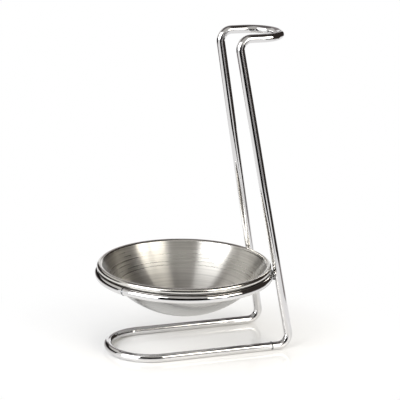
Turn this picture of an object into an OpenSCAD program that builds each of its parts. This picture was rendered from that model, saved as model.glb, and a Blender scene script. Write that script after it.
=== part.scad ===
// Ladle rest: a stand bent from one closed wire, a wire ring welded to its two uprights, and a round
// sheet dish with a rolled rim that hangs in the ring and lifts out for washing.
// The front of the stand is -Y and up is +Z. The legs lie on Z = 0, under the middle of the outline.

/* [Wire] */
// Diameter of the round wire of the frame and of the ring
wire_d = 5.5; // [4.5:0.25:6.5]
// Centreline radius of the bends at the feet and under the top loop
bend_r = 7; // [5.5:0.5:9]
// How much the wire's diameter draws down where it is bent
bend_thin = 0.02; // [0.01:0.01:0.1]

/* [Frame] */
// Overall height of the stand
height = 210; // [180:1:240]
// Distance between the two legs, centre to centre
base_w = 55; // [46:1:64]
// Reach of the nose ahead of the dish's axis, to the wire's centre
nose_reach = 51; // [44:1:58]
// Distance between the uprights at the top, centre to centre
top_w = 35; // [30:1:44]
// Reach of the top loop behind the uprights, to the wire's centre
loop_reach = 34; // [29:1:45]
// Forward lean of the uprights in degrees
lean = 10.4; // [5:0.2:14]

/* [Ring] */
// Height of the ring's centreline above the table
ring_z = 50; // [44:1:60]

/* [Dish] */
// Outer diameter of the dish over its rolled rim
rim_d = 115; // [105:1:122]
// Diameter of the rolled rim's bead
bead_d = 4; // [3:0.1:4.8]
// How far round the rim is rolled in degrees
curl_turn = 275; // [250:5:285]
// Thickness of the dish's sheet
sheet = 0.8; // [0.6:0.1:1]
// How much the sheet thins where it is rolled
roll_thin = 0.1; // [0.06:0.02:0.2]
// Spherical radius of the dish's outside
bowl_r = 62; // [60:1:75]
// Radius at which the bowl would meet the flat in its middle
flat_r = 11; // [8:1:16]
// Radius that blends the flat into the bowl
blend_r = 12; // [6:1:16]

/* [Seat] */
// How far the bead's centre lies inside the ring's centreline
seat_inset = 0.7; // [0.4:0.1:1.4]
// Running clearance between the bead and the ring
seat_gap = 0.2; // [0.1:0.05:0.4]

/* [Welds] */
// Radius of the weld bead between the ring and an upright
weld_r = 3.3; // [2.8:0.1:4]
// Root gap between the ring and an upright, which the weld fills
weld_gap = 0.25; // [0.15:0.05:0.4]
// Width of the closing welds along the wire
closing_w = 1.8; // [1.2:0.1:2.6]
// How far the closing welds stand proud of the wire
closing_rise = 0.25; // [0.15:0.05:0.4]
// Distance of the frame's closing weld ahead of the foot bend
frame_closing_back = 5; // [3:0.5:12]
// Height above the table up to which the frame's closing weld is ground away
ground_z = 0.8; // [0.6:0.1:1.2]
// Direction of the ring's closing weld from the dish's axis in degrees, 270 being the front
ring_closing_angle = 298; // [285:1:320]
// How far round the wire the ring's closing weld stands proud in degrees
ring_closing_turn = 180; // [120:10:200]
// Direction of the middle of that bead in degrees above level, seen along the ring
ring_closing_aim = -30; // [-40:5:-20]

/* [Hidden] */
$fn = 128;
// Each straight runs this far into the bends at its ends, so that the wire is one solid.
lap = 0.1;
// The rolled rim laps the wall that it starts from by this many degrees.
curl_lap = 6;
// The blend round the dish's flat runs this far past the surfaces that it joins.
blend_lap = 0.02;
wire_r = wire_d / 2;
bead_r = bead_d / 2;
leg_z = wire_r;
loop_z = height - wire_r;
rise = loop_z - leg_z;

// The bead hangs on the inner shoulder of the ring, one clearance away.
bead_x = rim_d / 2 - bead_r;
ring_r = bead_x + seat_inset;
bead_z = ring_z + sqrt(pow(wire_r + bead_r + seat_gap, 2) - pow(seat_inset, 2));

// The bowl's sheet runs tangent into the top of the bead, where it starts to thin.
ball_z = bead_z + sqrt(pow(bowl_r - sheet + roll_thin / 2 + bead_r, 2) - pow(bead_x, 2));
flat_z = ball_z - sqrt(pow(bowl_r, 2) - pow(flat_r, 2));
blend_z = flat_z + blend_r;
blend_x = sqrt(pow(bowl_r - blend_r, 2) - pow(ball_z - blend_z, 2));

// The uprights pass the ring one wire diameter and one root gap away from its centreline.
ring_rise = ring_z - leg_z;
cross_x = (base_w + (top_w - base_w) * ring_rise / rise) / 2;
cross_r = ring_r + (wire_d + weld_gap) / cos(lean);
cross_y = sqrt(pow(cross_r, 2) - pow(cross_x, 2));
foot_y = cross_y + ring_rise * tan(lean);
top_y = foot_y - rise * tan(lean);

// Corners of one side of the frame, from the nose round to the tip of the top loop.
nose_end = [base_w / 2, base_w / 2 - nose_reach, leg_z];
foot = [base_w / 2, foot_y, leg_z];
shoulder = [top_w / 2, top_y, loop_z];
loop_end = [top_w / 2, top_y + loop_reach - top_w / 2, loop_z];

// The outline is centred front to back, from the ring's front to the rear of the feet or the loop.
foot_rear = foot_y - setback(nose_end, foot, shoulder) + bend_r + wire_r;
loop_rear = top_y + loop_reach + wire_r;
front = -max(ring_r, nose_reach) - wire_r;
axis_y = -(max(foot_rear, loop_rear) + front) / 2;

function unit(v) = v / norm(v);
// Angle through which the wire turns at corner b on its way from a to c.
function turn(a, b, c) = 180 - acos(unit(a - b) * unit(c - b));
// Distance from corner b to where its bend starts.
function setback(a, b, c) = bend_r * tan(turn(a, b, c) / 2);
// Point where the bend at corner b meets the straight towards c.
function bend_end(a, b, c) = b + unit(c - b) * setback(a, b, c);

// Places its children on the dish's axis.
module on_axis() {
    translate([0, axis_y, 0]) children();
}

// A straight length of wire from a to b, with its laps.
module straight(a, b) {
    run = b - a;
    translate(a)
        rotate([0, acos(run.z / norm(run)), atan2(run.y, run.x)])
            translate([0, 0, -lap]) cylinder(d = wire_d, h = norm(run) + 2 * lap);
}

// An arc of drawn wire about Z, of centreline radius r.
module arc(r, angle) {
    rotate_extrude(angle = angle) translate([r, 0]) circle(d = wire_d - bend_thin);
}

// The bend at corner b on the way from a to c, turned into the plane of its two straights.
module bend(a, b, c) {
    forward = unit(b - a);
    inward = unit(cross(cross(forward, c - b), forward));
    normal = cross(-inward, forward);
    centre = b - forward * setback(a, b, c) + inward * bend_r;
    multmatrix([for (i = [0:2]) [-inward[i], forward[i], normal[i], centre[i]]])
        arc(bend_r, turn(a, b, c));
}

// One side of the frame: leg, foot bend, upright, shoulder bend and side of the top loop.
module frame_side() {
    straight(nose_end, bend_end(shoulder, foot, nose_end));
    bend(nose_end, foot, shoulder);
    straight(bend_end(nose_end, foot, shoulder), bend_end(loop_end, shoulder, foot));
    bend(foot, shoulder, loop_end);
    straight(bend_end(foot, shoulder, loop_end), loop_end);
}

// The closed frame: both sides, the round nose in front and the round tip of the top loop.
module frame_path() {
    frame_side();
    mirror([1, 0, 0]) frame_side();
    translate([0, nose_end.y, leg_z]) rotate(180) arc(base_w / 2, 180);
    translate([0, loop_end.y, loop_z]) arc(top_w / 2, 180);
}

module ring_path() {
    translate([0, 0, ring_z]) rotate_extrude() translate([ring_r, 0]) circle(d = wire_d);
}

// Bowl section out to the axis, with its surface moved in by inset.
module bowl_section(inset) {
    reach = unit([blend_x, blend_z - ball_z]) * (blend_r + sheet);
    difference() {
        intersection() {
            translate([0, ball_z]) circle(bowl_r - inset);
            translate([0, flat_z + inset]) square([bowl_r, bowl_r]);
        }
        difference() {
            polygon([[blend_x, blend_z],
                     [blend_x, flat_z - sheet],
                     [blend_x + reach.x, flat_z - sheet],
                     [blend_x, blend_z] + reach]);
            translate([blend_x, blend_z]) circle(blend_r - inset + blend_lap);
        }
    }
}

// Sheet wall of the bowl, up to where the rim starts to roll.
module wall_section() {
    edge = unit([bead_x, bead_z - ball_z]) * 2 * bowl_r;
    intersection() {
        difference() {
            bowl_section(0);
            bowl_section(sheet);
        }
        polygon([[0, ball_z], [0, ball_z] + edge, [edge.x, flat_z - sheet], [0, flat_z - sheet]]);
    }
}

// Rolled rim: the sheet turns outwards and down, and stops short of the wall that it laps at its start.
module curl_section() {
    start = atan2(ball_z - bead_z, -bead_x) + curl_lap;
    open = 360 - curl_turn - curl_lap;
    translate([bead_x, bead_z])
        difference() {
            circle(d = bead_d);
            circle(d = bead_d - 2 * (sheet - roll_thin));
            polygon(concat([[0, 0]],
                           [for (i = [0:2]) bead_d * [cos(start + open * i / 2), sin(start + open * i / 2)]]));
        }
}

// Weld metal in the crossing of the ring and one upright, on the side given by its sign.
module ring_weld(side) {
    outward = unit([side * cross_x, cross_y]);
    middle = (wire_d + weld_gap) / 2;
    at = outward * (ring_r + middle * cos(lean));
    difference() {
        translate([at.x, at.y, ring_z + middle * sin(lean)]) sphere(r = weld_r);
        ring_path();
        straight([side * foot.x, foot.y, foot.z], [side * shoulder.x, shoulder.y, shoulder.z]);
    }
}

// Weld upset of lens section round a wire that runs along Z, over an angle from +X.
module closing_bead(angle) {
    lens_r = (pow(closing_w / 2, 2) + pow(closing_rise, 2)) / (2 * closing_rise);
    rotate_extrude(angle = angle)
        difference() {
            translate([wire_r + closing_rise - lens_r, 0]) circle(r = lens_r);
            translate([wire_r - 2 * lens_r, -lens_r]) square(2 * lens_r);
        }
}

module frame_wire() {
    color("gainsboro") on_axis() frame_path();
}

module support_ring() {
    color("lightgray") on_axis() ring_path();
}

module dish() {
    color("silver")
        on_axis()
            rotate_extrude() {
                wall_section();
                curl_section();
            }
}

module ring_weld_left() {
    color("gray") on_axis() ring_weld(-1);
}

module ring_weld_right() {
    color("gray") on_axis() ring_weld(1);
}

// Closes the frame's loop on the right leg, and is ground away towards the table.
module frame_closing_weld() {
    at = bend_end(shoulder, foot, nose_end) - [0, frame_closing_back, 0];
    color("gray")
        on_axis()
            difference() {
                translate(at) rotate([90, 0, 0]) closing_bead(360);
                translate([at.x - wire_d, at.y - closing_w, ground_z - wire_d])
                    cube([2 * wire_d, 2 * closing_w, wire_d]);
            }
}

// Closes the ring at its front, and is dressed flush on the side where the dish sits.
module ring_closing_weld() {
    color("gray")
        on_axis()
            rotate(ring_closing_angle)
                translate([ring_r, 0, ring_z])
                    rotate([90, 0, 0])
                        rotate(ring_closing_aim - ring_closing_turn / 2) closing_bead(ring_closing_turn);
}

frame_wire();
support_ring();
dish();
ring_weld_left();
ring_weld_right();
frame_closing_weld();
ring_closing_weld();
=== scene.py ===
"""The finished look of a ladle rest: a chromed wire stand, its welds and a brushed dish that lifts out."""
import math
from types import SimpleNamespace

import bpy
from mathutils import Matrix, Vector


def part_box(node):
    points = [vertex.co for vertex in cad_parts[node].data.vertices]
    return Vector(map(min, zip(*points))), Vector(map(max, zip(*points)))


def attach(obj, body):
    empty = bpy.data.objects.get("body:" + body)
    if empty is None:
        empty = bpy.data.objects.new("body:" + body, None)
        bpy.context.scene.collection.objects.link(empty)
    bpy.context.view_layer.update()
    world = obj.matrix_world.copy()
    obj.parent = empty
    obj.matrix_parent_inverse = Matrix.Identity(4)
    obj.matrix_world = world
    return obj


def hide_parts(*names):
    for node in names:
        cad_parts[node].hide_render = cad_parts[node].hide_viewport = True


bl_info = {
    "name": "Ladle Rest",
    "version": (1, 0, 0),
    "blender": (4, 5, 0),
    "location": "3D View > Sidebar > Ladle Rest",
    "description": "Builds a bent-wire ladle rest with a lift-out brushed dish, and a studio to show it in",
    "category": "Add Mesh",
}

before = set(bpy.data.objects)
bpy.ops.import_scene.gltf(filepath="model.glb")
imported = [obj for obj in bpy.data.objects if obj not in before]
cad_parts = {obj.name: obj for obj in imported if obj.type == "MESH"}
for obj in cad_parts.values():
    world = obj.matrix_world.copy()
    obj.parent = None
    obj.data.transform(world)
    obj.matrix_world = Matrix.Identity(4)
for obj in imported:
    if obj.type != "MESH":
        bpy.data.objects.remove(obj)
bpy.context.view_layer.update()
MM = 0.001
# Points of an outline that lie no further apart than this are one point.
SAME_PLACE = 0.0001 * MM
WHITE = (1.0, 1.0, 1.0, 1.0)


def span(node, decimals=4):
    """Length of a node's box along each axis, in metres, rounded to so many decimals."""
    low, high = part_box(node)
    return [round(b - a, decimals) for a, b in zip(low, high)]


def linear(code):
    """Linear red, green and blue of an sRGB hex colour."""
    parts = [int(code[i:i + 2], 16) / 255 for i in (1, 3, 5)]
    return tuple(c / 12.92 if c <= 0.04045 else ((c + 0.055) / 1.055) ** 2.4 for c in parts)


def length(name, description, default):
    """A property for a length in metres."""
    return bpy.props.FloatProperty(
        name=name, description=description, default=default, min=0.0, precision=5,
        subtype="DISTANCE", unit="LENGTH")


def angle(name, description, degrees):
    """A property for an angle, given here in degrees."""
    return bpy.props.FloatProperty(
        name=name, description=description, default=math.radians(degrees),
        subtype="ANGLE", unit="ROTATION")


def colour(name, description, code):
    """A property for a colour, given here as sRGB hex."""
    return bpy.props.FloatVectorProperty(
        name=name, description=description, default=linear(code), size=3, min=0.0, max=1.0,
        subtype="COLOR")


RING_SPAN = span("support_ring")
WIRE_SPAN = span("frame_wire")
DISH_SPAN = span("dish", decimals=3)


class StandSizes(bpy.types.PropertyGroup):
    """Sizes of the bent wire frame and of the ring that is welded to it."""
    wire: length("Wire", "Diameter of the round wire", RING_SPAN[2])
    bend: length("Bend", "Centreline radius of the bends at the feet and under the loop", 7 * MM)
    height: length("Height", "Overall height of the stand", WIRE_SPAN[2])
    base_width: length(
        "Base width", "Distance between the legs, centre to centre", WIRE_SPAN[0] - RING_SPAN[2])
    nose_reach: length("Nose reach", "Reach of the nose ahead of the dish's axis", 51 * MM)
    top_width: length("Top width", "Distance between the uprights at the top, centre to centre", 35 * MM)
    loop_reach: length("Loop reach", "Reach of the top loop behind the uprights", 34 * MM)
    lean: angle("Lean", "Forward lean of the uprights", 10.4)
    ring_height: length("Ring height", "Height of the ring's centreline above the table", 50 * MM)
    ring_step: length("Ring step", "Distance between the rings of faces along a wire", 0.6 * MM)
    sides: bpy.props.IntProperty(name="Sides", description="Faces round a wire", default=40, min=12)


class DishSizes(bpy.types.PropertyGroup):
    """Sizes of the sheet dish and of its seat on the ring."""
    rim: length("Rim", "Outer diameter of the dish over its rolled rim", DISH_SPAN[0])
    bead: length("Bead", "Diameter of the rolled rim's bead", 4 * MM)
    curl: angle("Curl", "How far round the rim is rolled", 275)
    sheet: length("Sheet", "Thickness of the sheet", 0.8 * MM)
    bowl: length("Bowl", "Spherical radius of the outside", 62 * MM)
    flat: length("Flat", "Radius at which the bowl would meet the flat in its middle", 11 * MM)
    blend: length("Blend", "Radius that blends the flat into the bowl", 12 * MM)
    seat_inset: length(
        "Seat inset", "How far the bead's centre lies inside the ring's centreline", 0.7 * MM)
    seat_gap: length("Seat gap", "Running clearance between the bead and the ring", 0.2 * MM)
    segments: bpy.props.IntProperty(
        name="Segments", description="Faces round the dish", default=240, min=24)


class WeldSizes(bpy.types.PropertyGroup):
    """Sizes of the weld beads."""
    collar: length("Collar", "Radius of the lumps round the crossing of the ring and an upright", 1.45 * MM)
    core: length("Core", "Radius of the weld metal in the middle of that crossing", 2.3 * MM)
    root_gap: length("Root gap", "Gap between the ring and an upright that the weld fills", 0.25 * MM)
    seam: length("Seam", "Radius of the lumps of a closing weld", 0.55 * MM)
    seam_rise: length("Seam rise", "How far a closing weld stands proud of the wire", 0.25 * MM)
    seam_back: length("Seam back", "Distance of the frame's closing weld ahead of the foot bend", 5 * MM)
    ground: length("Ground", "Height up to which the frame's closing weld is ground away", 0.8 * MM)
    seam_angle: angle("Seam angle", "Direction of the ring's closing weld from the dish's axis", 298)
    seam_turn: angle("Seam turn", "How far round the wire the ring's closing weld stands proud", 180)
    seam_aim: angle("Seam aim", "Direction of the middle of that bead above level", -30)


class Finishes(bpy.types.PropertyGroup):
    """Colours of the metals and of the studio."""
    chrome: colour("Chrome", "Bright chrome plate", "#dcdbdb")
    steel_light: colour("Steel", "Stainless sheet between the brush marks", "#e4e2dd")
    steel_dark: colour("Brush marks", "Stainless sheet in the brush marks", "#d0cec9")
    steel_groove: colour("Lathe marks", "Stainless sheet in the deeper marks up the wall", "#cac8c3")
    # The outside's colour is darker than the inside's: painted shade on the underside of the dish, over a
    # real satin sheen.
    steel_back_shaded: colour("Back", "Satin outside of the dish, darkened as painted shade", "#b9b9b8")
    bead: colour("Bead", "Polished stainless bead", "#dcdad5")
    # The hem colour is painted shade: a dark line in the crevice between the rim and the ring.
    hem: colour("Hem", "Stainless under the rolled rim, in painted shade", "#5f5a55")
    weld: colour("Weld", "Plated weld metal", "#cbcdcf")
    scale: colour("Weld pits", "Dull hollows between the lumps of a weld", "#4b4a49")
    table: colour("Table", "White table", "#f4f4f4")
    card_black: colour("Black cards", "Studio cards in front and low at the left", "#1c1b1a")
    card_brown: colour("Brown cards", "Studio cards towards the dim right side", "#35302d")
    card_dim: colour("Dim cards", "Studio cards overhead and low at the right of the front", "#6d6868")
    card_grey: colour("Grey cards", "Studio cards behind the object and lowest beside it", "#928c8c")
    card_white: colour("White card", "Studio card towards the bright left side", "#d6d4d0")
    card_pale: colour("Pale cards", "Studio cards high in front", "#c4c2be")


class Photograph(bpy.types.PropertyGroup):
    """The camera's place round the stand."""
    azimuth: angle("Azimuth", "Direction of the camera from the front, towards the right", 69.84)
    elevation: angle("Elevation", "Height of the camera above level", 15.2)
    roll: angle("Roll", "Turn of the camera about its own axis", 1.0)
    distance: length("Distance", "Distance of the camera from what it looks at", 1.198)
    aim: bpy.props.FloatVectorProperty(
        name="Aim", description="What the camera looks at", default=(0.0, 6.3 * MM, 98.75 * MM),
        size=3, subtype="TRANSLATION", unit="LENGTH")
    lens: bpy.props.FloatProperty(
        name="Lens", description="Focal length in millimetres", default=165.0, min=1.0,
        subtype="DISTANCE_CAMERA", unit="CAMERA")


class LadleRest(bpy.types.PropertyGroup):
    """All that a user would change."""
    stand: bpy.props.PointerProperty(type=StandSizes)
    dish: bpy.props.PointerProperty(type=DishSizes)
    weld: bpy.props.PointerProperty(type=WeldSizes)
    finish: bpy.props.PointerProperty(type=Finishes)
    photo: bpy.props.PointerProperty(type=Photograph)


def places(rest):
    """Works out where everything lies, in metres, from the driving sizes."""
    stand, dish, weld = rest.stand, rest.dish, rest.weld
    at = SimpleNamespace()
    wire_r, bead_r = stand.wire / 2, dish.bead / 2
    at.leg_z = wire_r
    at.loop_z = stand.height - wire_r
    rise = at.loop_z - at.leg_z
    at.bead_x = dish.rim / 2 - bead_r
    at.ring_r = at.bead_x + dish.seat_inset
    seat = wire_r + bead_r + dish.seat_gap
    at.bead_z = stand.ring_height + math.sqrt(seat ** 2 - dish.seat_inset ** 2)
    at.ball_z = at.bead_z + math.sqrt((dish.bowl - dish.sheet + bead_r) ** 2 - at.bead_x ** 2)
    at.flat_z = at.ball_z - math.sqrt(dish.bowl ** 2 - dish.flat ** 2)
    at.blend_z = at.flat_z + dish.blend
    at.blend_x = math.sqrt((dish.bowl - dish.blend) ** 2 - (at.ball_z - at.blend_z) ** 2)
    share = (stand.ring_height - at.leg_z) / rise
    at.cross_x = (stand.base_width + (stand.top_width - stand.base_width) * share) / 2
    at.pass_gap = stand.wire + weld.root_gap
    at.cross_y = math.sqrt((at.ring_r + at.pass_gap / math.cos(stand.lean)) ** 2 - at.cross_x ** 2)
    foot_y = at.cross_y + rise * share * math.tan(stand.lean)
    top_y = foot_y - rise * math.tan(stand.lean)
    ring_low, ring_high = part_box("support_ring")
    at.axis_y = (ring_low.y + ring_high.y) / 2
    half, top_half = stand.base_width / 2, stand.top_width / 2
    at.nose = Vector((half, at.axis_y - stand.nose_reach, at.leg_z))
    at.foot = Vector((half, at.axis_y + foot_y, at.leg_z))
    at.shoulder = Vector((top_half, at.axis_y + top_y, at.loop_z))
    at.loop = Vector((top_half, at.axis_y + top_y + stand.loop_reach, at.loop_z))
    return at


def put(tree, kind, inputs=None, **settings):
    """Adds a node with its settings, and gives each named input a value or a link."""
    made = tree.nodes.new(kind)
    for name, value in settings.items():
        setattr(made, name, value)
    for key, value in (inputs or {}).items():
        if isinstance(value, bpy.types.NodeSocket):
            tree.links.new(value, made.inputs[key])
        else:
            made.inputs[key].default_value = value
    return made


def cleared(owner):
    """The node tree of a new material or world, without the nodes that it comes with."""
    owner.use_nodes = True
    owner.node_tree.nodes.clear()
    return owner.node_tree


def new_material(name):
    """A new material and its empty node tree."""
    material = bpy.data.materials.new(name)
    return material, cleared(material)


def bare_metal(tree, inputs):
    """Ends a material's tree in a bare metal, which keeps the default IOR."""
    shader = put(tree, "ShaderNodeBsdfPrincipled", {"Metallic": 1.0, **inputs})
    put(tree, "ShaderNodeOutputMaterial", {"Surface": shader.outputs["BSDF"]})


def bright_chrome(finish):
    """Chrome plate on drawn steel wire: a mirror, whose streaks waver as the wire isn't quite true."""
    material, tree = new_material("Bright chrome on drawn wire")
    wave_length, wave_depth, smear_length = 16 * MM, 0.006 * MM, 14 * MM
    place = put(tree, "ShaderNodeTexCoord").outputs["Object"]
    wave = put(tree, "ShaderNodeTexNoise", {"Vector": place, "Scale": 1 / wave_length, "Detail": 1.5})
    bump = put(tree, "ShaderNodeBump",
               {"Height": wave.outputs["Fac"], "Distance": wave_depth, "Strength": 1.0})
    smear = put(tree, "ShaderNodeTexNoise", {"Vector": place, "Scale": 1 / smear_length, "Detail": 4.0})
    rough = put(tree, "ShaderNodeMapRange",
                {"Value": smear.outputs["Fac"], "From Min": 0.35, "From Max": 0.75,
                 "To Min": 0.03, "To Max": 0.09})
    bare_metal(tree, {"Base Color": (*finish.chrome, 1.0), "Roughness": rough.outputs["Result"],
                      "Normal": bump.outputs["Normal"]})
    return material


def brushed_lines(tree, spacing, run):
    """Height from 0 to 1 of marks that run round the dish, spacing apart and about run long."""
    place = put(tree, "ShaderNodeTexCoord")
    along = put(tree, "ShaderNodeVectorMath", {0: place.outputs["Object"], 1: (1 / run, 1 / run, 0.0)},
                operation="MULTIPLY")
    sheet = put(tree, "ShaderNodeSeparateXYZ", {0: place.outputs["UV"]})
    across = put(tree, "ShaderNodeMath", {0: sheet.outputs["Y"], 1: 1 / spacing}, operation="MULTIPLY")
    lines = put(tree, "ShaderNodeTexNoise",
                {"Vector": along.outputs["Vector"], "W": across.outputs["Value"], "Scale": 1.0,
                 "Detail": 3.0, "Roughness": 0.6}, noise_dimensions="4D")
    return lines.outputs["Fac"]


def lathe_marks(tree, pitch, start, end):
    """Strength from 0 to 1 of marks at a pitch up the wall, which come in between start and end."""
    place = put(tree, "ShaderNodeTexCoord")
    up_wall = put(tree, "ShaderNodeSeparateXYZ", {0: place.outputs["UV"]}).outputs["Y"]
    turn = put(tree, "ShaderNodeMath", {0: up_wall, 1: 2 * math.pi / pitch}, operation="MULTIPLY")
    wave = put(tree, "ShaderNodeMath", {0: turn.outputs["Value"]}, operation="SINE")
    ridge = put(tree, "ShaderNodeMapRange",
                {"Value": wave.outputs["Value"], "From Min": 0.45, "From Max": 0.9})
    rise = put(tree, "ShaderNodeMapRange", {"Value": up_wall, "From Min": start, "From Max": end})
    whole = put(tree, "ShaderNodeMath",
                {0: ridge.outputs["Result"], 1: rise.outputs["Result"]}, operation="MULTIPLY")
    gaps = brushed_lines(tree, spacing=2 * pitch, run=80 * MM)
    kept = put(tree, "ShaderNodeMapRange", {"Value": gaps, "From Min": 0.35, "From Max": 0.6})
    broken = put(tree, "ShaderNodeMath",
                 {0: whole.outputs["Value"], 1: kept.outputs["Result"]}, operation="MULTIPLY")
    return broken.outputs["Value"]


def brushed_steel(finish):
    """Stainless sheet brushed round its axis: light spreads across the marks, in wedges to the middle."""
    material, tree = new_material("Brushed stainless sheet")
    # Real grit marks are under 0.1 mm apart and lathe marks under 1 mm. Both are coarser here, to show.
    lines = brushed_lines(tree, spacing=0.9 * MM, run=60 * MM)
    tone = put(tree, "ShaderNodeMapRange", {"Value": lines, "From Min": 0.38, "From Max": 0.6})
    sheet = put(tree, "ShaderNodeMix",
                {"Factor": tone.outputs["Result"], "A": (*finish.steel_dark, 1.0),
                 "B": (*finish.steel_light, 1.0)}, data_type="RGBA")
    grooves = lathe_marks(tree, pitch=2.8 * MM, start=43 * MM, end=52 * MM)
    worn = put(tree, "ShaderNodeMix",
               {"Factor": grooves, "A": sheet.outputs["Result"], "B": (*finish.steel_groove, 1.0)},
               data_type="RGBA")
    rough = put(tree, "ShaderNodeMapRange", {"Value": grooves, "To Min": 0.33, "To Max": 0.22})
    tangent = put(tree, "ShaderNodeTangent", direction_type="UV_MAP", uv_map="sheet")
    bare_metal(tree, {"Base Color": worn.outputs["Result"], "Roughness": rough.outputs["Result"],
                      "Anisotropic": 1.0, "Anisotropic Rotation": 0.25,
                      "Tangent": tangent.outputs["Tangent"]})
    return material


def marked_metal(name, tone, spacing, run, smooth, rough):
    """A bare metal that goes from smooth to rough across marks that run round the dish."""
    material, tree = new_material(name)
    # Real marks are under 0.1 mm apart. They are drawn coarser, so that they show.
    lines = brushed_lines(tree, spacing, run)
    grain = put(tree, "ShaderNodeMapRange", {"Value": lines, "To Min": smooth, "To Max": rough})
    bare_metal(tree, {"Base Color": (*tone, 1.0), "Roughness": grain.outputs["Result"]})
    return material


def polished_bead(finish):
    """Stainless sheet polished where it is rolled: a soft mirror with faint marks round the rim."""
    return marked_metal("Polished stainless bead", finish.bead,
                        spacing=1.2 * MM, run=60 * MM, smooth=0.12, rough=0.2)


def hem_painted_shade(finish):
    """Stainless sheet under the rim, rougher than the bead and in a dark colour: painted shade that makes a
    dull dark line above the ring.
    """
    # The dark hem colour is painted shade in the crevice above the ring; only the roughness belongs to the
    # sheet.
    return marked_metal("Stainless hem, painted shade", finish.hem,
                        spacing=0.6 * MM, run=25 * MM, smooth=0.28, rough=0.5)


def satin_steel_shaded(finish):
    """Stainless sheet with a fine satin back: a soft grey sheen that shows table and wires as blurs, in a
    darker colour that is painted shade.
    """
    return marked_metal("Satin stainless sheet, painted shade", finish.steel_back_shaded,
                        spacing=0.8 * MM, run=60 * MM, smooth=0.2, rough=0.32)


def plated_weld(finish):
    """Weld metal plated with the wire: small bright lumps with dull hollows between them."""
    material, tree = new_material("Plated weld bead")
    pit_width, pit_depth = 1.2 * MM, 0.05 * MM
    place = put(tree, "ShaderNodeTexCoord").outputs["Object"]
    pits = put(tree, "ShaderNodeTexNoise", {"Vector": place, "Scale": 1 / pit_width, "Detail": 3.0})
    clean = put(tree, "ShaderNodeMapRange",
                {"Value": pits.outputs["Fac"], "From Min": 0.45, "From Max": 0.62})
    tone = put(tree, "ShaderNodeMix",
               {"Factor": clean.outputs["Result"], "A": (*finish.scale, 1.0), "B": (*finish.weld, 1.0)},
               data_type="RGBA")
    bump = put(tree, "ShaderNodeBump",
               {"Height": pits.outputs["Fac"], "Distance": pit_depth, "Strength": 1.0})
    bare_metal(tree, {"Base Color": tone.outputs["Result"], "Roughness": 0.2,
                      "Normal": bump.outputs["Normal"]})
    return material


def new_tree(name, inputs):
    """A geometry node tree with a geometry input, the named inputs and a geometry output."""
    tree = bpy.data.node_groups.new(name, "GeometryNodeTree")
    tree.interface.new_socket("Geometry", in_out="INPUT", socket_type="NodeSocketGeometry")
    for label, kind in inputs.items():
        tree.interface.new_socket(label, in_out="INPUT", socket_type=kind)
    tree.interface.new_socket("Geometry", in_out="OUTPUT", socket_type="NodeSocketGeometry")
    return tree, put(tree, "NodeGroupInput").outputs


def end_tree(tree, geometry, material):
    """Ends a tree in smooth, realised faces of one material."""
    smooth = put(tree, "GeometryNodeSetShadeSmooth", {"Geometry": geometry})
    real = put(tree, "GeometryNodeRealizeInstances", {"Geometry": smooth.outputs["Geometry"]})
    done = put(tree, "GeometryNodeSetMaterial",
               {"Geometry": real.outputs["Geometry"], "Material": material})
    put(tree, "NodeGroupOutput", {"Geometry": done.outputs["Geometry"]})


def wire_tree():
    """Round wire along a path whose corners are rounded by their own bend radius."""
    tree, given = new_tree("wire_along_path", {
        "Wire": "NodeSocketFloat", "Step": "NodeSocketFloat", "Sides": "NodeSocketInt",
        "Material": "NodeSocketMaterial"})
    path = put(tree, "GeometryNodeMeshToCurve", {"Mesh": given["Geometry"]})
    bend = put(tree, "GeometryNodeInputNamedAttribute", {"Name": "bend"}, data_type="FLOAT")
    bent = put(tree, "GeometryNodeFilletCurve",
               {"Curve": path.outputs["Curve"], "Radius": bend.outputs["Attribute"], "Count": 40},
               mode="POLY")
    even = put(tree, "GeometryNodeResampleCurve",
               {"Curve": bent.outputs["Curve"], "Length": given["Step"]}, mode="LENGTH")
    half = put(tree, "ShaderNodeMath", {0: given["Wire"], 1: 0.5}, operation="MULTIPLY")
    section = put(tree, "GeometryNodeCurvePrimitiveCircle",
                  {"Resolution": given["Sides"], "Radius": half.outputs["Value"]})
    swept = put(tree, "GeometryNodeCurveToMesh",
                {"Curve": even.outputs["Curve"], "Profile Curve": section.outputs["Curve"]})
    end_tree(tree, swept.outputs["Mesh"], given["Material"])
    return tree


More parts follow.
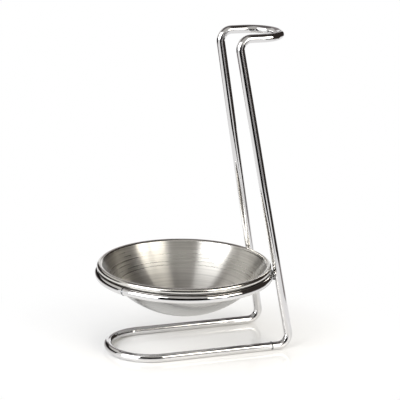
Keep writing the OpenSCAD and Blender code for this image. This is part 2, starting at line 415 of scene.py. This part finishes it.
def weld_tree():
    """Lumps of weld metal at a set of points, run together and roughened."""
    tree, given = new_tree("run_weld_lumps", {
        "Grain": "NodeSocketFloat", "Roughening": "NodeSocketFloat", "Material": "NodeSocketMaterial"})
    bump_width = 0.7 * MM
    lump = put(tree, "GeometryNodeMeshIcoSphere", {"Radius": 1.0, "Subdivisions": 3})
    size = put(tree, "GeometryNodeInputNamedAttribute", {"Name": "lump"}, data_type="FLOAT")
    vary = put(tree, "FunctionNodeRandomValue", {"Min": 0.92, "Max": 1.0, "Seed": 5}, data_type="FLOAT")
    scale = put(tree, "ShaderNodeMath",
                {0: size.outputs["Attribute"], 1: vary.outputs[1]}, operation="MULTIPLY")
    lumps = put(tree, "GeometryNodeInstanceOnPoints",
                {"Points": given["Geometry"], "Instance": lump.outputs["Mesh"],
                 "Scale": scale.outputs["Value"]})
    real = put(tree, "GeometryNodeRealizeInstances", {"Geometry": lumps.outputs["Instances"]})
    volume = put(tree, "GeometryNodeMeshToVolume",
                 {"Mesh": real.outputs["Geometry"], "Voxel Size": given["Grain"]},
                 resolution_mode="VOXEL_SIZE")
    skin = put(tree, "GeometryNodeVolumeToMesh", {"Volume": volume.outputs["Volume"], "Threshold": 0.1})
    bump = put(tree, "ShaderNodeTexNoise", {"Scale": 1 / bump_width, "Detail": 2.0})
    height = put(tree, "ShaderNodeMath",
                 {0: bump.outputs["Fac"], 1: given["Roughening"]}, operation="MULTIPLY")
    outward = put(tree, "GeometryNodeInputNormal").outputs["Normal"]
    shift = put(tree, "ShaderNodeVectorMath",
                {0: outward, "Scale": height.outputs["Value"]}, operation="SCALE")
    rough = put(tree, "GeometryNodeSetPosition",
                {"Geometry": skin.outputs["Mesh"], "Offset": shift.outputs["Vector"]})
    end_tree(tree, rough.outputs["Geometry"], given["Material"])
    return tree


def add_object(name, data):
    """A new object in the scene."""
    obj = bpy.data.objects.new(name, data)
    bpy.context.scene.collection.objects.link(obj)
    return obj


def carrier(name, points, attribute, values, closed):
    """A mesh of points, joined into a closed path where asked, that carries one value at each point."""
    mesh = bpy.data.meshes.new(name)
    count = len(points)
    edges = [(i, (i + 1) % count) for i in range(count)] if closed else []
    mesh.from_pydata(points, edges, [])
    mesh.attributes.new(attribute, "FLOAT", "POINT").data.foreach_set("value", values)
    return add_object(name, mesh)


def grown(obj, tree, inputs):
    """Runs a node tree on obj and leaves the result as obj's plain mesh."""
    modifier = obj.modifiers.new(tree.name, "NODES")
    modifier.node_group = tree
    for item in tree.interface.items_tree:
        if item.in_out == "INPUT" and item.name in inputs:
            modifier[item.identifier] = inputs[item.name]
    depsgraph = bpy.context.evaluated_depsgraph_get()
    mesh = bpy.data.meshes.new_from_object(obj.evaluated_get(depsgraph))
    obj.modifiers.remove(modifier)
    obj.data = mesh
    mesh.name = obj.name
    if not mesh.polygons:
        raise RuntimeError(f"{obj.name} came out without faces")
    return obj


def settle(obj, body, slot, *nodes):
    """Puts a finished piece on its body, in place of the nodes that it stands for."""
    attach(obj, body)
    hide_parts(*nodes)


def arc(x, z, radius, start, end, steps):
    """Points of an arc in the section plane, from start to end in radians."""
    turns = [start + (end - start) * i / steps for i in range(steps + 1)]
    return [(x + radius * math.cos(t), z + radius * math.sin(t)) for t in turns]


def dish_section(rest, at):
    """The sheet's outline from the inside's middle to the outside's, and the material at each point."""
    dish = rest.dish
    down = -math.pi / 2
    blend_end = math.atan2(at.blend_z - at.ball_z, at.blend_x)
    rim = math.atan2(at.bead_z - at.ball_z, at.bead_x)
    roll = rim + math.pi
    tip = roll - dish.curl
    bead_r = dish.bead / 2
    middle = bead_r - dish.sheet / 2
    tip_x, tip_z = at.bead_x + middle * math.cos(tip), at.bead_z + middle * math.sin(tip)
    inside, bead, hem, outside = 0, 1, 2, 3
    # From this angle round the bead's underside to the curl, the sheet takes the hem's painted shade.
    hem_shade_start = math.radians(-25)
    blend_steps, bowl_steps, bead_steps, hem_steps, tip_steps, curl_steps = 6, 60, 28, 16, 8, 24
    stretches = [
        (inside, [(0.0, at.flat_z + dish.sheet)]),
        (inside, arc(at.blend_x, at.blend_z, dish.blend - dish.sheet, down, blend_end, blend_steps)),
        (inside, arc(0.0, at.ball_z, dish.bowl - dish.sheet, blend_end, rim, bowl_steps)),
        (bead, arc(at.bead_x, at.bead_z, bead_r, roll, hem_shade_start, bead_steps)),
        (hem, arc(at.bead_x, at.bead_z, bead_r, hem_shade_start, tip, hem_steps)),
        (hem, arc(tip_x, tip_z, dish.sheet / 2, tip, tip - math.pi, tip_steps)),
        (hem, arc(at.bead_x, at.bead_z, bead_r - dish.sheet, tip, roll, curl_steps)),
        (outside, arc(0.0, at.ball_z, dish.bowl, rim, blend_end, bowl_steps)),
        (outside, arc(at.blend_x, at.blend_z, dish.blend, blend_end, down, blend_steps)),
        (outside, [(0.0, at.flat_z)]),
    ]
    points, slots = [], []
    for slot, stretch in stretches:
        for point in stretch:
            if not points or math.dist(point, points[-1]) > SAME_PLACE:
                points.append(point)
                slots.append(slot)
    return points, slots


def turned(name, points, slots, segments, axis_y, materials):
    """A section whose ends lie on the axis, turned round it.

    Its UV map runs round the axis in turns and along the sheet in metres.
    """
    inner = points[1:-1]
    rows = len(inner)
    verts = [(0.0, axis_y, points[0][1]), (0.0, axis_y, points[-1][1])]
    for s in range(segments):
        turn = 2 * math.pi * s / segments
        verts += [(r * math.cos(turn), axis_y + r * math.sin(turn), z) for r, z in inner]
    run = [0.0]
    for a, b in zip(points, points[1:]):
        run.append(run[-1] + math.dist(a, b))
    faces, corners, face_slots = [], [], []
    for s in range(segments):
        here, there = 2 + s * rows, 2 + (s + 1) % segments * rows
        u, w = s / segments, (s + 1) / segments
        faces.append((0, here, there))
        corners += [((u + w) / 2, run[0]), (u, run[1]), (w, run[1])]
        face_slots.append(slots[0])
        for k in range(rows - 1):
            faces.append((here + k, here + k + 1, there + k + 1, there + k))
            corners += [(u, run[k + 1]), (u, run[k + 2]), (w, run[k + 2]), (w, run[k + 1])]
            face_slots.append(slots[k + 1])
        faces.append((1, there + rows - 1, here + rows - 1))
        corners += [((u + w) / 2, run[-1]), (w, run[-2]), (u, run[-2])]
        face_slots.append(slots[-1])
    mesh = bpy.data.meshes.new(name)
    mesh.from_pydata(verts, [], faces)
    mesh.uv_layers.new(name="sheet").data.foreach_set("uv", [x for corner in corners for x in corner])
    for material in materials:
        mesh.materials.append(material)
    mesh.polygons.foreach_set("material_index", face_slots)
    mesh.polygons.foreach_set("use_smooth", [True] * len(faces))
    mesh.update()
    return add_object(name, mesh)


class LADLEREST_OT_wires(bpy.types.Operator):
    """Bends the frame from one closed wire and makes the ring that carries the dish"""
    bl_idname = "ladle_rest.wires"
    bl_label = "Frame and ring"

    def execute(self, context):
        rest = context.scene.ladle_rest
        at = places(rest)
        stand = rest.stand
        tree = wire_tree()
        inputs = {"Wire": stand.wire, "Step": stand.ring_step, "Sides": stand.sides,
                  "Material": bright_chrome(rest.finish)}
        right = [at.nose, at.foot, at.shoulder, at.loop]
        left = [Vector((-v.x, v.y, v.z)) for v in reversed(right)]
        # The nose and the loop's tip are half circles, whose radius is a hair under half of their width.
        snug = 0.9999
        bends = [stand.base_width / 2 * snug, stand.bend, stand.bend, stand.top_width / 2 * snug]
        path = carrier("stand_frame", right + left, "bend", bends + bends[::-1], closed=True)
        settle(grown(path, tree, inputs), "stand", "chromed_wire", "frame_wire")
        steps = 200
        turns = [2 * math.pi * i / steps for i in range(steps)]
        circle = [(at.ring_r * math.cos(t), at.axis_y + at.ring_r * math.sin(t), stand.ring_height)
                  for t in turns]
        path = carrier("dish_ring", circle, "bend", [0.0] * steps, closed=True)
        settle(grown(path, tree, inputs), "stand", "chromed_wire", "support_ring")
        return {"FINISHED"}


class LADLEREST_OT_dish(bpy.types.Operator):
    """Turns the sheet dish with its rolled rim"""
    bl_idname = "ladle_rest.dish"
    bl_label = "Dish"

    def execute(self, context):
        rest = context.scene.ladle_rest
        at = places(rest)
        points, slots = dish_section(rest, at)
        makers = (brushed_steel, polished_bead, hem_painted_shade, satin_steel_shaded)
        materials = [make(rest.finish) for make in makers]
        dish = turned("drip_dish", points, slots, rest.dish.segments, at.axis_y, materials)
        settle(dish, "dish", "brushed_dish", "dish")
        return {"FINISHED"}


class LADLEREST_OT_welds(bpy.types.Operator):
    """Runs the welds that join the ring to the uprights and close the two wires"""
    bl_idname = "ladle_rest.welds"
    bl_label = "Welds"

    def execute(self, context):
        rest = context.scene.ladle_rest
        at = places(rest)
        tree = weld_tree()
        material = plated_weld(rest.finish)
        coarse = {"Grain": 0.16 * MM, "Roughening": 0.25 * MM, "Material": material}
        fine = {"Grain": 0.1 * MM, "Roughening": 0.05 * MM, "Material": material}
        for name, node, (points, sizes), inputs in (
                ("ring_weld_left_bead", "ring_weld_left", self.crossing(rest, at, -1), coarse),
                ("ring_weld_right_bead", "ring_weld_right", self.crossing(rest, at, 1), coarse),
                ("frame_seam_bead", "frame_closing_weld", self.frame_seam(rest, at), fine),
                ("ring_seam_bead", "ring_closing_weld", self.ring_seam(rest, at), fine)):
            lumps = carrier(name, points, "lump", sizes, closed=False)
            settle(grown(lumps, tree, inputs), "stand", "plated_weld", node)
        return {"FINISHED"}

    def crossing(self, rest, at, side):
        """Lumps in an oval round the crossing of the ring and one upright, and one in its middle."""
        outward = Vector((side * at.cross_x, at.cross_y, 0.0)).normalized()
        lean = rest.stand.lean
        towards = outward * math.cos(lean) + Vector((0.0, 0.0, math.sin(lean)))
        on_ring = Vector((0.0, at.axis_y, rest.stand.ring_height)) + outward * at.ring_r
        centre = on_ring + towards * at.pass_gap / 2
        along = Vector((-outward.y, outward.x, 0.0))
        up = towards.cross(along)
        count, wide, tall = 9, 1.5 * MM, 1.9 * MM
        turns = [2 * math.pi * i / count for i in range(count)]
        points = [centre + along * wide * math.cos(t) + up * tall * math.sin(t) for t in turns]
        return points + [centre], [rest.weld.collar] * count + [rest.weld.core]

    def seam(self, rest, centre, along, start, turn):
        """Lumps in two rows round a wire, through a turn whose start is measured up from outwards."""
        weld = rest.weld
        reach = rest.stand.wire / 2 + weld.seam_rise - weld.seam
        outward = Vector((along.y, -along.x, 0.0))
        count = round(reach * turn / weld.seam * 2)
        points = []
        for row, shift in ((-0.5, 0.0), (0.5, 0.5)):
            for i in range(count):
                bearing = start + turn * (i + shift) / count
                ray = outward * math.cos(bearing) + Vector((0.0, 0.0, math.sin(bearing)))
                points.append(centre + along * row * weld.seam + ray * reach)
        return points

    def frame_seam(self, rest, at):
        """Lumps round the right leg, apart from those that are ground away towards the table."""
        weld = rest.weld
        setback = rest.stand.bend * math.tan((math.pi / 2 + rest.stand.lean) / 2)
        centre = Vector((at.foot.x, at.foot.y - setback - weld.seam_back, at.leg_z))
        points = self.seam(rest, centre, Vector((0.0, 1.0, 0.0)), 0.0, 2 * math.pi)
        kept = [v for v in points if v.z - weld.seam > weld.ground]
        return kept, [weld.seam] * len(kept)

    def ring_seam(self, rest, at):
        """Lumps on the side of the ring that faces away from the dish."""
        weld = rest.weld
        outward = Vector((math.cos(weld.seam_angle), math.sin(weld.seam_angle), 0.0))
        centre = Vector((0.0, at.axis_y, rest.stand.ring_height)) + outward * at.ring_r
        along = Vector((-outward.y, outward.x, 0.0))
        points = self.seam(rest, centre, along, weld.seam_aim - weld.seam_turn / 2, weld.seam_turn)
        return points, [weld.seam] * len(points)


class LADLEREST_OT_stage(bpy.types.Operator):
    """Sets up the table, the studio's lights and cards, and the camera"""
    bl_idname = "ladle_rest.stage"
    bl_label = "Studio"

    def execute(self, context):
        rest = context.scene.ladle_rest
        self.camera(context.scene, rest.photo)
        self.world(context.scene)
        self.table(rest)
        self.lights(rest)
        self.cards(rest)
        context.scene.view_settings.view_transform = "Standard"
        return {"FINISHED"}

    def camera(self, scene, photo):
        """The camera at the photograph's place."""
        a, e = photo.azimuth, photo.elevation
        back = Vector((math.sin(a) * math.cos(e), -math.cos(a) * math.cos(e), math.sin(e)))
        right = Vector((math.cos(a), math.sin(a), 0.0))
        up = back.cross(right)
        turn = Matrix.Rotation(photo.roll, 3, back)
        right, up = turn @ right, turn @ up
        data = bpy.data.cameras.new("camera")
        data.lens, data.sensor_width = photo.lens, 36.0
        data.clip_start, data.clip_end = 0.05, 20.0
        camera = add_object("camera", data)
        place = Matrix((right, up, back)).transposed().to_4x4()
        place.translation = Vector(photo.aim) + back * photo.distance
        camera.matrix_world = place
        scene.camera = camera

    def seen_directly(self, tree):
        """1 where a camera, mirror or glass ray looks, and 0 where light is only gathered."""
        path = put(tree, "ShaderNodeLightPath").outputs
        near = put(tree, "ShaderNodeMath",
                   {0: path["Is Camera Ray"], 1: path["Is Glossy Ray"]}, operation="MAXIMUM")
        seen = put(tree, "ShaderNodeMath",
                   {0: near.outputs["Value"], 1: path["Is Transmission Ray"]}, operation="MAXIMUM")
        return seen.outputs["Value"]

    def world(self, scene):
        """A white surround that lights the object softly."""
        world = bpy.data.worlds.new("white_surround")
        tree = cleared(world)
        fill, seen = 0.72, 1.0
        strength = put(tree, "ShaderNodeMapRange",
                       {"Value": self.seen_directly(tree), "To Min": fill, "To Max": seen})
        light = put(tree, "ShaderNodeBackground",
                    {"Color": WHITE, "Strength": strength.outputs["Result"]})
        put(tree, "ShaderNodeOutputWorld", {"Surface": light.outputs["Background"]})
        scene.world = world

    def table(self, rest):
        """A white glossy table that fades into the white surround away from the object."""
        half, fade_start, fade_end = 4.0, 0.06, 0.16
        corners = [(-half, -half, 0), (half, -half, 0), (half, half, 0), (-half, half, 0)]
        mesh = bpy.data.meshes.new("table")
        mesh.from_pydata(corners, [], [(0, 1, 2, 3)])
        table = add_object("table", mesh)
        material, tree = new_material("White acrylic table")
        plate = put(tree, "ShaderNodeBsdfPrincipled",
                    {"Base Color": (*rest.finish.table, 1.0), "Roughness": 0.12,
                     "Specular IOR Level": 0.3})
        place = put(tree, "ShaderNodeTexCoord").outputs["Object"]
        far = put(tree, "ShaderNodeVectorMath", {0: place}, operation="LENGTH").outputs["Value"]
        glow = put(tree, "ShaderNodeEmission", {"Color": WHITE, "Strength": 1.0})
        fade = put(tree, "ShaderNodeMapRange",
                   {"Value": far, "From Min": fade_start, "From Max": fade_end},
                   interpolation_type="SMOOTHSTEP")
        white = put(tree, "ShaderNodeMath",
                    {0: fade.outputs["Result"], 1: self.seen_directly(tree)}, operation="MULTIPLY")
        mix = put(tree, "ShaderNodeMixShader",
                  {0: white.outputs["Value"], 1: plate.outputs["BSDF"], 2: glow.outputs["Emission"]})
        put(tree, "ShaderNodeOutputMaterial", {"Surface": mix.outputs["Shader"]})
        mesh.materials.append(material)

    def around(self, rest, bearing, radius, height):
        """A point round the object, whose bearing counts to the right from the camera's direction."""
        a = rest.photo.azimuth + bearing
        return Vector((radius * math.sin(a), -radius * math.cos(a), height))

    def lights(self, rest):
        """Two soft boxes, the left one white and the right one warmer."""
        away, aim = 0.9, Vector((0.0, 0.0, 0.1))
        for name, bearing, wide, tall, height, tint, radiance in (
                ("left_softbox", -50.0, 0.80, 0.80, 0.50, "#ffffff", 4.2),
                ("right_softbox", 56.0, 0.78, 0.62, 0.42, "#fff9ec", 5.2)):
            data = bpy.data.lights.new(name, "AREA")
            data.shape = "RECTANGLE"
            data.size, data.size_y = wide, tall
            data.color = linear(tint)
            data.energy = radiance * math.pi * wide * tall
            lamp = add_object(name, data)
            lamp.location = self.around(rest, math.radians(bearing), away, height)
            lamp.rotation_euler = (aim - lamp.location).to_track_quat("-Z", "Y").to_euler()
            lamp.visible_camera = False

    def cards(self, rest):
        """Cards that only mirrors see: low ones near the object, tall ones round it and four overhead."""
        finish = rest.finish
        high, wide = 1.1, 1.0
        steps = 16
        faces = [(k, k + 1, k + 3, k + 2) for k in range(0, 2 * steps, 2)]
        for name, start, end, low_radius, low, high_radius, top, tone in (
                ("front_low_card", -28.0, 28.0, 0.22, 0.0, 0.22, 0.18, finish.card_black),
                ("right_front_card", 28.0, 46.0, 0.42, 0.03, 0.42, 0.2, finish.card_dim),
                ("right_low_card", 52.0, 120.0, 0.42, 0.0, 0.42, 0.2, finish.card_brown),
                ("right_near_card", 70.0, 115.0, 0.28, 0.0, 0.28, 0.03, finish.card_grey),
                ("left_low_card", -155.0, -84.0, 0.42, 0.0, 0.42, 0.22, finish.card_black),
                ("left_foot_card", -155.0, -84.0, 0.41, 0.0, 0.41, 0.06, finish.card_grey),
                ("front_card", -23.0, 24.0, wide, 0.0, wide, 0.4, finish.card_black),
                ("front_high_card", -23.0, 24.0, wide, 0.4, wide, high, finish.card_pale),
                ("right_card", 80.0, 162.0, wide, 0.0, wide, high, finish.card_brown),
                ("left_card", -145.0, -78.0, wide, 0.3, wide, high, finish.card_white),
                ("back_card", 165.0, 215.0, wide, 0.38, wide, high, finish.card_grey),
                ("front_ceiling", -60.0, 50.0, 0.0, high, wide, high, finish.card_pale),
                ("right_ceiling", 50.0, 150.0, 0.0, high, wide, high, finish.card_brown),
                ("back_ceiling", 150.0, 210.0, 0.0, high, wide, high, finish.card_dim),
                ("left_ceiling", -150.0, -60.0, 0.0, high, wide, high, finish.card_dim)):
            verts = []
            for i in range(steps + 1):
                bearing = math.radians(start + (end - start) * i / steps)
                verts.append(self.around(rest, bearing, low_radius, low))
                verts.append(self.around(rest, bearing, high_radius, top))
            self.card(name, verts, faces, tone)

    def card(self, name, verts, faces, tone):
        """One card of an even tone, which casts no shadow and which only mirrors see."""
        material, tree = new_material(name)
        glow = put(tree, "ShaderNodeEmission", {"Color": (*tone, 1.0), "Strength": 1.0})
        put(tree, "ShaderNodeOutputMaterial", {"Surface": glow.outputs["Emission"]})
        mesh = bpy.data.meshes.new(name)
        mesh.from_pydata(verts, [], faces)
        mesh.materials.append(material)
        card = add_object(name, mesh)
        card.visible_camera = False
        card.visible_diffuse = False
        card.visible_shadow = False


STEPS = (LADLEREST_OT_wires, LADLEREST_OT_dish, LADLEREST_OT_welds, LADLEREST_OT_stage)


class LADLEREST_PT_panel(bpy.types.Panel):
    """Lists the steps that build the ladle rest, and its sizes and colours"""
    bl_idname = "LADLEREST_PT_panel"
    bl_label = "Ladle Rest"
    bl_space_type = "VIEW_3D"
    bl_region_type = "UI"
    bl_category = "Ladle Rest"

    def draw(self, context):
        for step in STEPS:
            self.layout.operator(step.bl_idname)
        rest = context.scene.ladle_rest
        for group in (rest.stand, rest.dish, rest.weld, rest.finish, rest.photo):
            box = self.layout.box()
            for name in group.__annotations__:
                box.prop(group, name)


CLASSES = (StandSizes, DishSizes, WeldSizes, Finishes, Photograph, LadleRest, *STEPS, LADLEREST_PT_panel)


def register():
    """Makes the sizes, the operators and the panel known to Blender."""
    for item in CLASSES:
        bpy.utils.register_class(item)
    bpy.types.Scene.ladle_rest = bpy.props.PointerProperty(type=LadleRest)


def unregister():
    """Takes them out again, last ones first."""
    del bpy.types.Scene.ladle_rest
    for item in reversed(CLASSES):
        bpy.utils.unregister_class(item)


def main():
    """Builds the ladle rest and its studio."""
    register()
    bpy.ops.ladle_rest.wires()
    bpy.ops.ladle_rest.dish()
    bpy.ops.ladle_rest.welds()
    bpy.ops.ladle_rest.stage()


if __name__ == "__main__":
    main()
